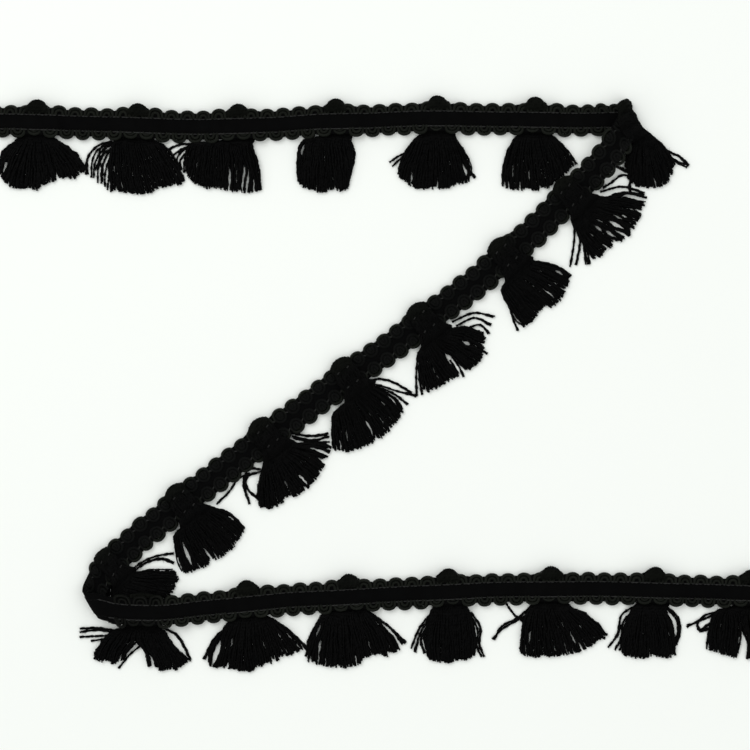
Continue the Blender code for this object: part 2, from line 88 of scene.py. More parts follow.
# A row for each tassel: name, crossing point on the heading, how it crosses, both neck ends,
# strand tips from one neck end to the other,
# loose strands, each a list for a twin pair or a tuple for a lone one,
# and openings between strands, each two ends and half its greatest width
TASSELS = [
    ("01", (38, 122), "under", (16, 141), (58, 141),
     [(0, 158), (1, 170), (3, 181), (9, 188), (24, 189), (37, 190), (41, 186), (50, 182), (61, 178),
      (76, 179), (80, 173), (87, 171), (86, 166)],
     [[(56, 141), (70, 153), (86, 168)]],
     [(7, 158, 4, 175, 1.7), (74, 160, 76, 167, 0.6), (43, 165, 44, 172, 0.6), (70.5, 160, 73, 168, 0.5)]),
    ("02", (139, 125), "under", (113, 143), (162, 144),
     [(112, 190), (120, 191), (133, 193), (146, 194), (156, 190), (166, 186), (172, 186), (184, 183),
      (184, 178)],
     [[(112, 141), (97, 146), (88, 158), (87, 175)], ((114, 143), (99, 149), (92, 161), (91, 177)),
      ((115, 144), (103, 150), (95, 163), (94, 178)), ((116, 145), (105, 153), (98, 166), (98, 182)),
      [(117, 145), (107, 155), (102, 170), (102, 183)], ((118, 146), (110, 157), (105, 172), (105, 187)),
      ((119, 147), (112, 158), (109, 174), (108, 190)), [(120, 147), (114, 160), (112, 176), (111, 192)],
      ((114, 143), (108, 146), (104, 152), (95, 170)), ((113, 142), (106, 144), (99, 152), (103, 176))],
     [(117, 166, 118, 181, 0.8), (121, 178, 123, 190, 0.8), (114, 160, 113, 176, 0.6)]),
    ("03", (238, 126), "under", (190, 145), (253, 144),
     [(186, 170), (192, 181), (202, 187), (212, 191), (214, 187), (226, 191), (241, 191), (245, 193),
      (252, 192), (261, 190)],
     [[(192, 144), (180, 145), (168, 150)], [(194, 145), (182, 149), (172, 158), (176, 167)],
      [(196, 147), (186, 153), (180, 162), (182, 170)], [(251, 141), (255, 158), (256, 176), (261, 190)],
      ((197, 148), (189, 153), (184, 162), (185, 172)), ((198, 149), (190, 156), (187, 164), (188, 175)),
      ((193, 145), (184, 150), (177, 158), (178, 168))],
     [(248, 161, 240, 196, 1.8), (250, 167, 245, 198, 1.5), (252.5, 175, 255, 196, 1.0),
      (199, 162, 195, 168, 0.9)]),
    ("04", (337, 121), "under", (303, 141), (351, 140),
     [(298, 180), (303, 187), (309, 189), (323, 193), (331, 189), (340, 191), (347, 189), (350, 176)],
     [[(308, 141), (300, 148), (297, 163), (298, 176)], [(350, 140), (354, 152), (353, 165), (349, 178)]],
     [(306, 141, 299, 157, 1.6), (303, 160, 302, 166, 0.8), (350, 164, 348, 174, 0.6)]),
    ("05", (438, 118.5), "under", (414, 140), (456, 139),
     [(397, 174), (400, 178), (407, 182), (416, 189), (431, 188), (447, 189), (455, 186), (468, 183),
      (471, 177)],
     [[(410, 152), (400, 156), (390, 162)], [(410, 155), (401, 159), (393, 166)],
      [(457, 152), (466, 165), (475, 178)]],
     [(460, 160, 471, 179, 1.1), (414, 173, 409, 186, 1.1), (414, 145, 412, 150, 0.5)]),
    ("06", (535, 119.5), "under", (513, 140), (556, 139),
     [(502, 184), (508, 189), (520, 190), (530, 190), (539, 190), (548, 187), (557, 181), (566, 173),
      (574, 165)],
     [[(553, 141), (566, 153), (577, 164)]],
     [(505.4, 179, 503, 192, 0.8), (508.4, 177, 509, 192, 0.7), (513.6, 176, 515, 192, 0.6),
      (566, 152, 577, 165, 0.9)]),
    ("07", (625, 119), "fold", (634, 142), (652, 137),
     [(625, 165), (628, 179), (637, 187), (650, 187), (660, 187), (667, 182), (672, 172), (675, 164)],
     [[(655, 143), (667, 151), (680, 157), (689, 166)], [(652, 144), (666, 154), (677, 162), (687, 166)],
      [(628, 176), (621, 175), (612, 182), (603, 188)], [(632, 174), (624, 170), (616, 166)],
      [(631, 178), (629, 186), (630, 192)]],
     []),
    ("08", (570, 195), "over", (602, 199), (574, 226),
     [(645, 193), (646, 200), (643, 208), (640, 216), (634, 228), (630, 236), (620, 241), (609, 248),
      (600, 257), (592, 258)],
     [[(574, 219), (574, 240), (570, 266)], [(575, 221), (580, 240), (576, 265)],
      [(579, 219), (583, 243), (587, 265)], [(582, 221), (586, 243), (590, 264)],
      [(600, 192), (622, 187), (644, 193)]],
     [(596.5, 222, 604.5, 238, 1.3), (606, 229, 613, 239, 1.6), (609, 219, 622, 230, 2.0),
      (612, 213, 623, 222, 1.0), (620, 212, 629, 221, 1.2), (614, 229, 632, 240, 1.3),
      (630, 207, 650, 216, 1.3), (621, 192, 648, 203, 1.6), (625, 188, 652, 195, 1.2),
      (574.5, 223, 580, 290, 3.0), (585, 241, 594, 280, 1.4)]),
    ("09", (506, 255.5), "over", (531, 262), (503, 288),
     [(571, 274), (569, 281), (565, 290), (561, 299), (553, 308), (548, 305), (539, 311), (535, 318),
      (529, 324), (524, 327)],
     [[(509, 300), (512, 316), (518, 331)]],
     [(556, 270, 563, 276, 1.5), (544.7, 282, 553, 288, 0.7)]),
    ("10", (423.7, 322), "over", (450, 330), (420, 352),
     [(483, 329), (485, 340), (483, 351), (480, 361), (471, 369), (464, 372), (453, 378), (446, 383),
      (438, 387), (429, 392), (424, 389)],
     [[(452, 322), (474, 313), (494, 317)], [(456, 326), (475, 318), (491, 325)],
      [(468, 328), (480, 325), (489, 334)], [(470, 345), (480, 349), (487, 354)],
      [(418, 352), (416, 372), (417, 396)], [(420, 354), (419, 376), (422, 395)],
      [(452, 357), (459, 366), (464, 377)], [(450, 360), (455, 368), (458, 375)]],
     [(466, 323, 487, 331, 2.5), (462, 340, 471, 346, 2.2), (444, 349, 478, 394, 3.9),
      (427, 380, 424, 402, 0.8)]),
    ("11", (347.5, 377.5), "over", (373, 387), (334, 414),
     [(401, 408), (402, 412), (398, 420), (392, 426), (386, 435), (376, 441), (363, 447), (350, 451),
      (336, 452), (333, 446)],
     [[(366, 381), (380, 379), (393, 382), (412, 393)], [(368, 383), (382, 386), (396, 391), (417, 396)],
      [(376, 388), (391, 396), (402, 409)], [(376, 386), (394, 394), (408, 404)]],
     [(389, 394, 403, 411, 1.8), (341.3, 436, 340, 455, 0.7), (376, 434, 378, 444, 0.7)]),
    ("12", (268, 436.5), "over", (295, 445), (264, 468),
     [(331, 445), (330, 450), (326, 461), (317, 478), (311, 485), (304, 491), (296, 496), (285, 497),
      (282, 503), (270, 509), (261, 507), (260, 500)],
     [[(261, 469), (248, 470), (244, 483), (250, 504)], [(262, 471), (247, 477), (248, 489), (260, 500)],
      [(250, 473), (238, 479), (229, 492), (217, 504)], [(290, 433), (310, 436), (328, 434)],
      [(292, 436), (312, 440), (329, 437)], [(293, 438), (313, 442), (330, 442)]],
     [(307, 446, 331, 454, 1.4), (316, 456, 330, 468, 1.3), (295, 473, 311, 485.5, 1.8),
      (284, 478, 286, 486, 0.8)]),
    ("13", (184, 501.5), "over", (212, 509), (176, 534),
     [(244, 528), (242, 534), (234, 546), (225, 555), (212, 560), (206, 566), (196, 569), (188, 573),
      (183, 571)],
     [[(215, 509), (232, 516), (245, 528)]],
     [(181, 538, 193, 567, 1.8), (204.6, 546, 215, 566, 1.2), (222, 510.5, 234, 520, 1.0)]),
    ("14", (112, 564.5), "tight", (135, 572), (114, 598),
     [(175, 570), (179, 577), (176, 584), (174, 590), (169, 598), (160, 604), (146, 606), (128, 606)],
     [[(128, 572), (146, 560), (158, 556), (174, 553)], [(130, 574), (147, 562), (162, 559), (174, 563)],
      [(111, 577), (109.3, 588), (110, 601)], [(110, 575), (107.5, 590), (107, 603)],
      [(114, 577), (112, 588), (112.5, 602)], [(115, 577), (113, 590), (117, 604)],
      [(118, 580), (116, 592), (121, 606)]],
     [(150, 582, 174, 583, 0.2)]),
    ("15", (142, 611), "loop", (110, 633), (167, 632),
     [(95, 653), (94, 658), (106, 662), (116, 663), (121, 667), (130, 664), (141, 662), (150, 664),
      (157, 669), (168, 668), (174, 671), (182, 665), (189, 661)],
     [[(114, 630), (98, 628), (80, 628)], [(114, 632), (98, 630), (80, 632)],
      [(115, 635), (100, 636), (80, 637)], [(115, 638), (103, 639), (91, 641)],
      [(164, 628), (177, 635), (185, 648), (191, 660)], [(140, 646), (130, 654), (119, 668)],
      [(144, 647), (149, 657), (150, 665)]],
     [(143, 643, 127, 690, 12.0), (134.5, 647, 125, 660, 1.5), (122.5, 652, 117, 666, 1.2),
      (150.7, 650, 156, 676, 1.3), (168, 628, 188, 657, 4.2)]),
    ("16", (249, 603), "under", (228, 622), (275, 620),
     [(209, 662), (212, 668), (221, 667), (230, 668), (240, 671), (249, 672), (260, 667), (270, 663),
      (281, 658), (292, 654), (303, 649)],
     [[(231, 624), (216, 637), (204, 659)], [(232, 626), (219, 639), (211, 657)],
      [(272, 621), (290, 632), (304, 645), (315, 656)], [(274, 622), (292, 635), (302, 644), (310, 656)]],
     [(222, 636, 211, 668, 3.0), (231, 636, 232.5, 648, 1.3), (226, 644, 226, 650, 0.8),
      (231.5, 658, 221, 680, 1.6), (277, 631, 283, 641, 1.0), (284, 629, 292, 639, 1.3),
      (269, 656, 271, 670, 0.5)]),
    ("17", (349, 596), "under", (322, 615), (373, 614),
     [(307, 655), (310, 661), (321, 665), (334, 666), (346, 667), (359, 664), (362, 658), (374, 654),
      (386, 656), (400, 649)],
     [[(371, 615), (388, 626), (406, 643)], [(373, 614), (392, 630), (403, 644)],
      [(325, 615), (312, 632), (306, 656)]],
     [(322, 622, 316, 638, 1.2), (321, 637, 318, 655, 1.4), (311, 646, 309, 670, 0.6),
      (375, 616, 400, 641, 1.2), (372, 617, 384, 630, 1.1), (353.7, 646, 358, 672, 0.6)]),
    ("18", (450, 591), "under", (431, 612), (469, 611),
     [(427, 655), (430, 659), (434, 660), (448, 663), (457, 659), (465, 659), (471, 658), (474, 654)],
     [[(430, 614), (419, 628), (411, 648)], [(431, 616), (421, 632), (415, 652)],
      [(432, 618), (421, 640), (425, 653)], [(433, 618), (424, 636), (429, 654)],
      [(471, 612), (480, 628), (479, 644), (484, 656)], [(470, 614), (478, 631), (477, 646), (481, 657)]],
     [(441, 640, 440, 668, 0.4)]),
    ("19", (550, 588), "under", (530, 607), (571, 607),
     [(519, 650), (525, 655), (536, 657), (551, 656), (566, 654), (581, 651), (594, 644), (600, 638),
      (607, 634)],
     [[(533, 604), (517, 618), (502, 626), (494, 639)], [(505, 602), (515, 615), (524, 622)],
      [(529, 614), (519, 619), (501, 630), (493, 639)], [(569, 608), (585, 623), (597, 632), (607, 634)],
      [(568, 610), (584, 627), (598, 635), (605, 638)]],
     [(530.5, 628, 528, 645, 1.3), (574, 619, 586, 632, 0.7), (569, 632, 577, 646, 0.7),
      (582, 621, 592, 630, 0.6)]),
    ("20", (653, 589), "under", (633, 608), (665, 608),
     [(621, 650), (624, 655), (634, 657), (646, 658), (650, 655), (657, 655), (666, 658), (674, 656),
      (674, 650)],
     [[(632, 607), (621, 616), (618, 634), (608, 647)], [(633, 610), (623, 622), (621, 638), (615, 649)],
      [(634, 611), (625, 626), (624, 640), (619, 650)], [(666, 606), (678, 617), (680, 632), (676, 645)],
      [(665, 607), (676, 619), (678, 633), (674, 644)]],
     [(650, 648, 650, 672, 0.7)]),
    ("21", (749, 592), "under", (714, 612), (776, 611),
     [(707, 650), (714, 650), (723, 654), (738, 658), (752, 658), (765, 655), (777, 651), (787, 645)],
     [[(722, 612), (706, 614), (696, 622), (687, 626)],
      [(724, 614), (709, 617), (698, 623), (699, 630), (713, 628)], [(730, 617), (712, 622), (700, 630)],
      [(720, 618), (712, 630), (708, 642)]],
     [(748, 626, 736, 690, 4.2), (730, 650, 729, 672, 0.9), (716, 645, 714, 668, 0.7)]),
]


def plan(point):
    return np.array([(point[0] - PLAN_CENTRE[0]) * STEP, (PLAN_CENTRE[1] - point[1]) * STEP])


def unit(vector):
    return vector / np.linalg.norm(vector)


def curve_through(knots, per_span=24):
    """A centripetal Catmull-Rom curve through points of any dimension."""
    knots = np.asarray(knots, float)
    padded = np.vstack([2 * knots[0] - knots[1], knots, 2 * knots[-1] - knots[-2]])
    found = []
    for index in range(1, len(padded) - 2):
        p0, p1, p2, p3 = padded[index - 1:index + 3]
        t0 = 0.0
        t1 = t0 + math.sqrt(np.linalg.norm(p1 - p0)) + 1e-9
        t2 = t1 + math.sqrt(np.linalg.norm(p2 - p1)) + 1e-9
        t3 = t2 + math.sqrt(np.linalg.norm(p3 - p2)) + 1e-9
        t = np.linspace(t1, t2, per_span, endpoint=False)[:, None]
        a1 = (t1 - t) / (t1 - t0) * p0 + (t - t0) / (t1 - t0) * p1
        a2 = (t2 - t) / (t2 - t1) * p1 + (t - t1) / (t2 - t1) * p2
        a3 = (t3 - t) / (t3 - t2) * p2 + (t - t2) / (t3 - t2) * p3
        b1 = (t2 - t) / (t2 - t0) * a1 + (t - t0) / (t2 - t0) * a2
        b2 = (t3 - t) / (t3 - t1) * a2 + (t - t1) / (t3 - t1) * a3
        found.append((t2 - t) / (t2 - t1) * b1 + (t - t1) / (t2 - t1) * b2)
    found.append(knots[-1:])
    return np.vstack(found)


def lengths_along(points):
    return np.concatenate([[0.0], np.cumsum(np.linalg.norm(np.diff(points, axis=0), axis=1))])


def smooth(value):
    value = np.clip(value, 0.0, 1.0)
    return value * value * (3 - 2 * value)


def nearest_length(points, along, target):
    return along[np.argmin(np.linalg.norm(points - target, axis=1))]


def sample(points, share):
    along = lengths_along(points)
    return np.array([np.interp(share * along[-1], along, points[:, axis]) for axis in range(points.shape[1])])


class Run:
    """One flat run of the heading: its plan curve, its lift and the turn of its ribs at each end."""

    def __init__(self, points, side, turns, lifts, humps):
        self.points = curve_through([plan(point) for point in points])
        self.along = lengths_along(self.points)
        self.length = self.along[-1]
        self.side = side
        self.turns = turns
        self.lifts = [(nearest_length(self.points, self.along, plan(row[:2])), row[2]) for row in lifts]
        self.humps = [nearest_length(self.points, self.along, plan(row)) for row in humps]

    def at(self, length):
        return np.array([np.interp(length, self.along, self.points[:, axis]) for axis in (0, 1)])

    def direction(self, length):
        return unit(self.at(min(length + LOOK_AHEAD, self.length)) - self.at(max(length - LOOK_AHEAD, 0.0)))

    def lift(self, length):
        height = 0.0
        if self.lifts:
            if length >= self.lifts[-1][0]:
                height = self.lifts[-1][1]
            for (start, low), (end, high) in zip(self.lifts[:-1], self.lifts[1:]):
                if start <= length < end:
                    height = low + (high - low) * smooth((length - start) / (end - start))
        for middle in self.humps:
            height = max(height, HUMP * smooth((HUMP_REACH - abs(length - middle)) / HUMP_SLOPE))
        return height

    def rib(self, length):
        """Plan direction from the head edge to the skirt edge."""
        ahead = self.direction(length)
        square = np.array([ahead[1], -ahead[0]]) * self.side
        for at_end, fold in self.turns:
            gone = self.length - length if at_end else length
            share = smooth(1 - gone / TURN_LENGTH)
            square = unit(square * (1 - share) + fold * share)
        return square


def fold_direction(angle):
    return np.array([math.cos(math.radians(angle)), -math.sin(math.radians(angle))])


FOLD_ONE = fold_direction(FOLD_ONE_ANGLE)
FOLD_TWO = fold_direction(FOLD_TWO_ANGLE)
OUT_ONE = np.array([-FOLD_ONE[1], FOLD_ONE[0]])
OUT_TWO = np.array([FOLD_TWO[1], -FOLD_TWO[0]])
UNDER_TOP = [row[1] for row in TASSELS if row[2] == "under" and row[1][1] < UPPER_HALF]
UNDER_LOW = [row[1] for row in TASSELS if row[2] == "under" and row[1][1] > UPPER_HALF]
RUN_TOP = Run(TOP_RUN, 1.0, [(True, FOLD_ONE)], [], UNDER_TOP)
RUN_DIAGONAL = Run(DIAGONAL_RUN, -1.0, [(False, FOLD_ONE), (True, FOLD_TWO)], DIAGONAL_LIFT, [])
RUN_LOWER = Run(LOWER_RUN, 1.0, [(False, FOLD_TWO)], LOWER_LIFT, UNDER_LOW)


class Braid:
    """The heading's centre, rib direction and front at any station from one cut end to the other."""

    FINE = 8

    def __init__(self):
        step = PITCH / STATIONS_PER_PITCH
        self.sections = []
        start = 0
        for run, fold, radius, outward in (
            (RUN_TOP, FOLD_ONE, FOLD_ONE_RADIUS, OUT_ONE),
            (RUN_DIAGONAL, FOLD_TWO, FOLD_TWO_RADIUS, OUT_TWO),
            (RUN_LOWER, None, 0.0, None),
        ):
            count = round(run.length / step)
            self.sections.append(("run", start, count, run))
            start += count
            if fold is not None:
                count = max(FEWEST_IN_A_ROLL, round(math.pi * radius / step))
                self.sections.append(("roll", start, count, (run, fold, radius, outward)))
                start += count
        self.last = start
        self.stations = np.linspace(0, self.last, self.last * self.FINE + 1)
        pairs = [self.frame(station) for station in self.stations]
        self.centre = np.array([centre for centre, _ in pairs])
        self.across = np.array([[rib[0], rib[1], 0.0] for _, rib in pairs])
        reach = self.FINE // 2
        index = np.arange(len(self.centre))
        ahead = self.centre[np.minimum(index + reach, index[-1])] - self.centre[np.maximum(index - reach, 0)]
        ahead /= np.linalg.norm(ahead, axis=1)[:, None]
        front = np.cross(self.across, ahead)
        self.slant = np.linalg.norm(front, axis=1)
        self.front = front / self.slant[:, None]

    def frame(self, station):
        for index, (kind, start, count, data) in enumerate(self.sections):
            if station > start + count and index < len(self.sections) - 1:
                continue
            share = min(max((station - start) / count, 0.0), 1.0)
            if kind == "run":
                length = share * data.length
                return np.array([*data.at(length), data.lift(length) + THICK / 2]), data.rib(length)
            run, fold, radius, outward = data
            following = self.sections[index + 1][3]
            begin, end = run.at(run.length), following.at(0.0)
            turn = math.pi * share
            flat = begin + (end - begin) * share + outward * radius * math.sin(turn)
            height = run.lift(run.length) + THICK / 2 + radius * (1 - math.cos(turn))
            return np.array([*flat, height]), fold

    def nearest(self, point):
        return self.stations[np.argmin(np.linalg.norm(self.centre[:, :2] - point, axis=1))]

    def near_roll(self, station, margin=0.6):
        rolls = [row[1:3] for row in self.sections if row[0] == "roll"]
        return any(start - margin < station < start + count + margin for start, count in rolls)

    def read(self, table, station):
        return np.stack([np.interp(station, self.stations, table[:, axis]) for axis in range(3)], axis=-1)

    def place(self, station, a, b):
        """World points in millimetres from station, distance across and height over the braid's middle."""
        station, a, b = np.broadcast_arrays(np.asarray(station, float), a, b)
        slant = np.interp(station, self.stations, self.slant)
        across = self.read(self.across, station) * (a / slant)[..., None]
        return self.read(self.centre, station) + across + self.read(self.front, station) * b[..., None]

    def facing(self, station):
        return self.read(self.front, np.asarray(station, float))


BRAID = Braid()
KNOTS = [BRAID.nearest(plan(row[1])) for row in TASSELS]
FOLD_ONE_START = BRAID.sections[1][1]
FOLD_TWO_END = BRAID.sections[4][1]


def from_a_knot(station):
    return min(abs(station - knot) for knot in KNOTS)


def beside_a_knot(station):
    """1 at one pitch from the middle of a knot, and 0 from two and a half stations either side of there."""
    return max(0.0, 1.0 - abs(from_a_knot(station) - STATIONS_PER_PITCH) / 2.5)


def placed(name, data):
    """A new object at the origin, linked to the scene."""
    made = bpy.data.objects.new(name, data)
    bpy.context.scene.collection.objects.link(made)
    return made


class Value:
    """Wraps a node socket, so that sums on values add Math nodes."""

    def __init__(self, cloth, socket):
        self.cloth = cloth
        self.socket = socket

    def math(self, operation, *others):
        values = dict(enumerate([self, *others]))
        return self.cloth.node("ShaderNodeMath", {"operation": operation}, values)[0]

    def __add__(self, other):
        return self.math("ADD", other)

    __radd__ = __add__

    def __mul__(self, other):
        return self.math("MULTIPLY", other)

    __rmul__ = __mul__


def feed(tree, value, socket):
    """Links a socket to a value that comes from a node, or sets it."""
    if isinstance(value, Value):
        value = value.socket
    if isinstance(value, bpy.types.NodeSocket):
        tree.links.new(value, socket)
    else:
        socket.default_value = value


def add_node(tree, kind, settings, sockets):
    """A node of one type, its settings set first, then the values or links of its sockets."""
    made = tree.nodes.new(kind)
    for name, value in settings.items():
        setattr(made, name, value)
    for name, value in sockets.items():
        feed(tree, value, made.inputs[name])
    return made.outputs


# Sockets that share a name with others of their node, by their number
OBJECT_PLACE = 3
ATTRIBUTE_VALUE = 2
MIX_SHARE = 0
MIX_FIRST = 6
MIX_SECOND = 7
MIXED_COLOUR = 2


class Cloth:
    """A Principled finish and the nodes that vary it."""

    def __init__(self, name, colour, roughness, specular):
        self.material = bpy.data.materials.new(name)
        self.material.use_nodes = True
        self.tree = self.material.node_tree
        self.shader = self.tree.nodes["Principled BSDF"]
        self.set("Base Color", (*colour, 1.0))
        self.set("Roughness", roughness)
        self.set("Specular IOR Level", specular)

    def set(self, name, value):
        feed(self.tree, value, self.shader.inputs[name])

    def node(self, kind, settings, sockets):
        return [Value(self, socket) for socket in add_node(self.tree, kind, settings, sockets)]

    def stored(self, name):
        """A number kept on the mesh."""
        return self.node("ShaderNodeAttribute", {"attribute_name": name}, {})[ATTRIBUTE_VALUE]

    def grain(self, wear_scale, fibre_scale):
        """Broad wear and fine fibre, each from 0 to 1."""
        place = self.node("ShaderNodeTexCoord", {}, {})[OBJECT_PLACE]
        found = []
        for scale, detail in ((wear_scale, 3.0), (fibre_scale, 2.0)):
            sockets = {"Vector": place, "Scale": scale, "Detail": detail}
            found.append(self.node("ShaderNodeTexNoise", {}, sockets)[0])
        return found

    def blend(self, share, first, second):
        """A colour between two, each a triple or a link, by a value from 0 to 1."""
        ends = [end if isinstance(end, Value) else (*end, 1.0) for end in (first, second)]
        sockets = {MIX_SHARE: share, MIX_FIRST: ends[0], MIX_SECOND: ends[1]}
        return self.node("ShaderNodeMix", {"data_type": "RGBA"}, sockets)[MIXED_COLOUR]

    def relief(self, height, distance, strength):
        sockets = {"Height": height, "Distance": distance, "Strength": strength}
        self.set("Normal", self.node("ShaderNodeBump", {}, sockets)[0])


def gimp_finish(name, dark, light, specular):
    """Dull black gimp, wound with fine thread round the cord, with painted shade on the raised scallops just
    past the second fold.
    """
    winding = 0.42
    painted_shade_level = 0.35
    cloth = Cloth(name, dark, 0.55, specular)
    wound = (cloth.stored("along") * (2 * math.pi / winding)).math("SINE")
    worn, fine = cloth.grain(380.0, 2600.0)
    open_side = cloth.blend(worn, dark, light)
    painted_shade_colour = cloth.blend(worn, *([painted_shade_level * part for part in colour] for colour in (dark, light)))
    # Painted shade: where the share kept on the mesh is high, the colour turns to the darker painted shade
    # colour
    cloth.set("Base Color", cloth.blend(cloth.stored("painted_light"), open_side, painted_shade_colour))
    cloth.relief(wound * 0.5 + fine * 0.8, 0.00018, 0.7)
    return cloth.material


def channel_finish():
    """Flat black ground of the braid."""
    cloth = Cloth("black_ground", (0.002, 0.002, 0.002), 0.9, 0.04)
    worn, fine = cloth.grain(260.0, 2400.0)
    cloth.set("Base Color", cloth.blend(worn, (0.0008, 0.0008, 0.0009), (0.0020, 0.0021, 0.0021)))
    cloth.relief(fine, 0.00012, 0.6)
    return cloth.material


def thread_finish():
    """Mercerised thread of the stitch lines, a little brighter than the gimp."""
    return Cloth("bright_thread", (0.0105, 0.0110, 0.0102), 0.42, 0.26).material


def yarn_finish():
    """Matt black cotton yarn, with a painted highlight that makes it a little brighter where it is drawn tight
    round a knot.
    """
    cloth = Cloth("black_yarn", (0.0015, 0.0015, 0.0016), 0.85, 0.06)
    worn, fine = cloth.grain(300.0, 3000.0)
    loose = cloth.blend(worn, (0.0008, 0.0009, 0.0010), (0.0036, 0.0037, 0.0036))
    # Painted highlight: a lighter, greener yarn colour for the stretch that wraps the knot
    tight = cloth.blend(worn, (0.0022, 0.0028, 0.0019), (0.0064, 0.0074, 0.0054))
    cloth.set("Base Color", cloth.blend(cloth.stored("painted_light"), loose, tight))
    cloth.relief(fine, 0.00012, 0.7)
    return cloth.material


GIMP = gimp_finish("black_gimp", (0.0030, 0.0039, 0.0028), (0.0104, 0.0122, 0.0088), 0.08)
BACK_GIMP = gimp_finish("dark_back_gimp", (0.0009, 0.0011, 0.0010), (0.0034, 0.0038, 0.0034), 0.06)
GROUND = channel_finish()
THREAD = thread_finish()
YARN = yarn_finish()


class Tree:
    """A Geometry Nodes tree with named inputs."""

    def __init__(self, name, numbers, counts):
        self.tree = bpy.data.node_groups.new(name, "GeometryNodeTree")
        sockets = self.tree.interface
        for way in ("INPUT", "OUTPUT"):
            sockets.new_socket("Geometry", in_out=way, socket_type="NodeSocketGeometry")
        kinds = {**dict.fromkeys(numbers, "NodeSocketFloat"), **dict.fromkeys(counts, "NodeSocketInt")}
        kinds["Material"] = "NodeSocketMaterial"
        self.names = {}
        for size, kind in kinds.items():
            self.names[size] = sockets.new_socket(size, in_out="INPUT", socket_type=kind).identifier
        self.given = self.node("NodeGroupInput", {}, {})

    def node(self, kind, settings, sockets):
        return add_node(self.tree, kind, settings, sockets)

    def stored(self, name, kind="FLOAT"):
        """A number or vector kept on the drawn line."""
        return self.node("GeometryNodeInputNamedAttribute", {"data_type": kind}, {"Name": name})["Attribute"]

    def between(self, low, high, sockets):
        """A random number, or a random vector, between two."""
        kind, first, result = ("FLOAT_VECTOR", 0, 0) if isinstance(low, tuple) else ("FLOAT", 2, 1)
        ends = {first: low, first + 1: high}
        return self.node("FunctionNodeRandomValue", {"data_type": kind}, {**ends, **sockets})[result]

    def scale(self, x, z):
        return self.node("ShaderNodeCombineXYZ", {}, {"X": x, "Y": 1.0, "Z": z})["Vector"]

    def even_line(self):
        """The drawn lines as curves with even steps."""
        line = self.node("GeometryNodeMeshToCurve", {}, {"Mesh": self.given["Geometry"]})["Curve"]
        sockets = {"Curve": line, "Length": self.given["Step"]}
        return self.node("GeometryNodeResampleCurve", {"mode": "LENGTH"}, sockets)["Curve"]

    def oval_along(self, line):
        """An oval carried along a line, as thick as the line's girth."""
        sockets = {"Resolution": self.given["Sides"], "Radius": 1.0}
        ring = self.node("GeometryNodeCurvePrimitiveCircle", {}, sockets)["Curve"]
        sockets = {"Geometry": ring, "Scale": self.scale(self.given["Flatness"], 1.0)}
        ring = self.node("GeometryNodeTransform", {}, sockets)["Geometry"]
        sockets = {"Curve": line, "Profile Curve": ring, "Scale": self.stored("girth"), "Fill Caps": True}
        return self.node("GeometryNodeCurveToMesh", {}, sockets)["Mesh"]

    def finish(self, geometry):
        real = self.node("GeometryNodeRealizeInstances", {}, {"Geometry": geometry})["Geometry"]
        shaded = self.node("GeometryNodeSetShadeSmooth", {}, {"Geometry": real})["Geometry"]
        sockets = {"Geometry": shaded, "Material": self.given["Material"]}
        clad = self.node("GeometryNodeSetMaterial", {}, sockets)["Geometry"]
        self.node("NodeGroupOutput", {}, {"Geometry": clad})
        return self


def cord_tree():
    """An oval cord along each drawn line, with its long way turned to the line's own facing."""
    tree = Tree("cord_on_a_line", ("Step", "Flatness"), ("Sides",))
    node = tree.node
    sockets = {"Curve": tree.even_line(), "Normal": tree.stored("facing", "FLOAT_VECTOR")}
    line = node("GeometryNodeSetCurveNormal", {"mode": "FREE"}, sockets)["Curve"]
    along = node("GeometryNodeSplineParameter", {}, {})["Length"]
    along = node("ShaderNodeMath", {"operation": "MULTIPLY"}, {0: along, 1: 1 / MM})["Value"]
    sockets = {"Geometry": line, "Name": "along", "Value": along}
    line = node("GeometryNodeStoreNamedAttribute", {"domain": "POINT"}, sockets)["Geometry"]
    return tree.finish(tree.oval_along(line))


def yarn_tree():
    """Two-ply yarn, an oval turned steadily along each line, with loose fibres standing off it."""
    tree = Tree("two_ply_yarn", ("Step", "Flatness", "Turn", "Fuzz"), ("Sides", "Seed"))
    node, given = tree.node, tree.given
    seed = {"Seed": given["Seed"]}
    line = tree.even_line()
    along = node("GeometryNodeSplineParameter", {}, {})["Length"]
    strand = node("GeometryNodeCurveOfPoint", {}, {})["Curve Index"]
    begin = tree.between(0.0, WHOLE_TURN, {"ID": strand, **seed})
    sockets = {0: along, 1: given["Turn"], 2: begin}
    tilt = node("ShaderNodeMath", {"operation": "MULTIPLY_ADD"}, sockets)["Value"]
    line = node("GeometryNodeSetCurveTilt", {}, {"Curve": line, "Tilt": tilt})["Curve"]
    body = tree.oval_along(line)
    normal = node("GeometryNodeInputNormal", {}, {})["Normal"]
    rise = node("ShaderNodeSeparateXYZ", {}, {"Vector": normal})["Z"]
    settings = {"data_type": "FLOAT", "operation": "GREATER_THAN"}
    upper = node("FunctionNodeCompare", settings, {0: rise, 1: 0.5})["Result"]
    sockets = {"Mesh": body, "Selection": upper, "Density": given["Fuzz"], **seed}
    spots = node("GeometryNodeDistributePointsOnFaces", {}, sockets)
    sockets = {"Vertices": 3, "Radius Top": 0.0, "Radius Bottom": 0.00006, "Depth": 0.0009}
    fibre = node("GeometryNodeMeshCone", {"fill_type": "NGON"}, sockets)["Mesh"]
    lean = tree.between((-0.9, -0.9, 0.0), (0.9, 0.9, WHOLE_TURN), seed)
    sockets = {"Rotation": spots["Rotation"], "Rotate By": lean}
    turned = node("FunctionNodeRotateRotation", {"rotation_space": "LOCAL"}, sockets)["Rotation"]
    stretch = tree.scale(1.0, tree.between(0.5, 1.4, seed))
    sockets = {"Points": spots["Points"], "Instance": fibre, "Rotation": turned, "Scale": stretch}
    fuzz = node("GeometryNodeInstanceOnPoints", {}, sockets)["Instances"]
    joined = node("GeometryNodeJoinGeometry", {}, {"Geometry": body})["Geometry"]
    tree.tree.links.new(fuzz, joined.node.inputs["Geometry"])
    return tree.finish(joined)


CORD = cord_tree()
TWISTED = yarn_tree()


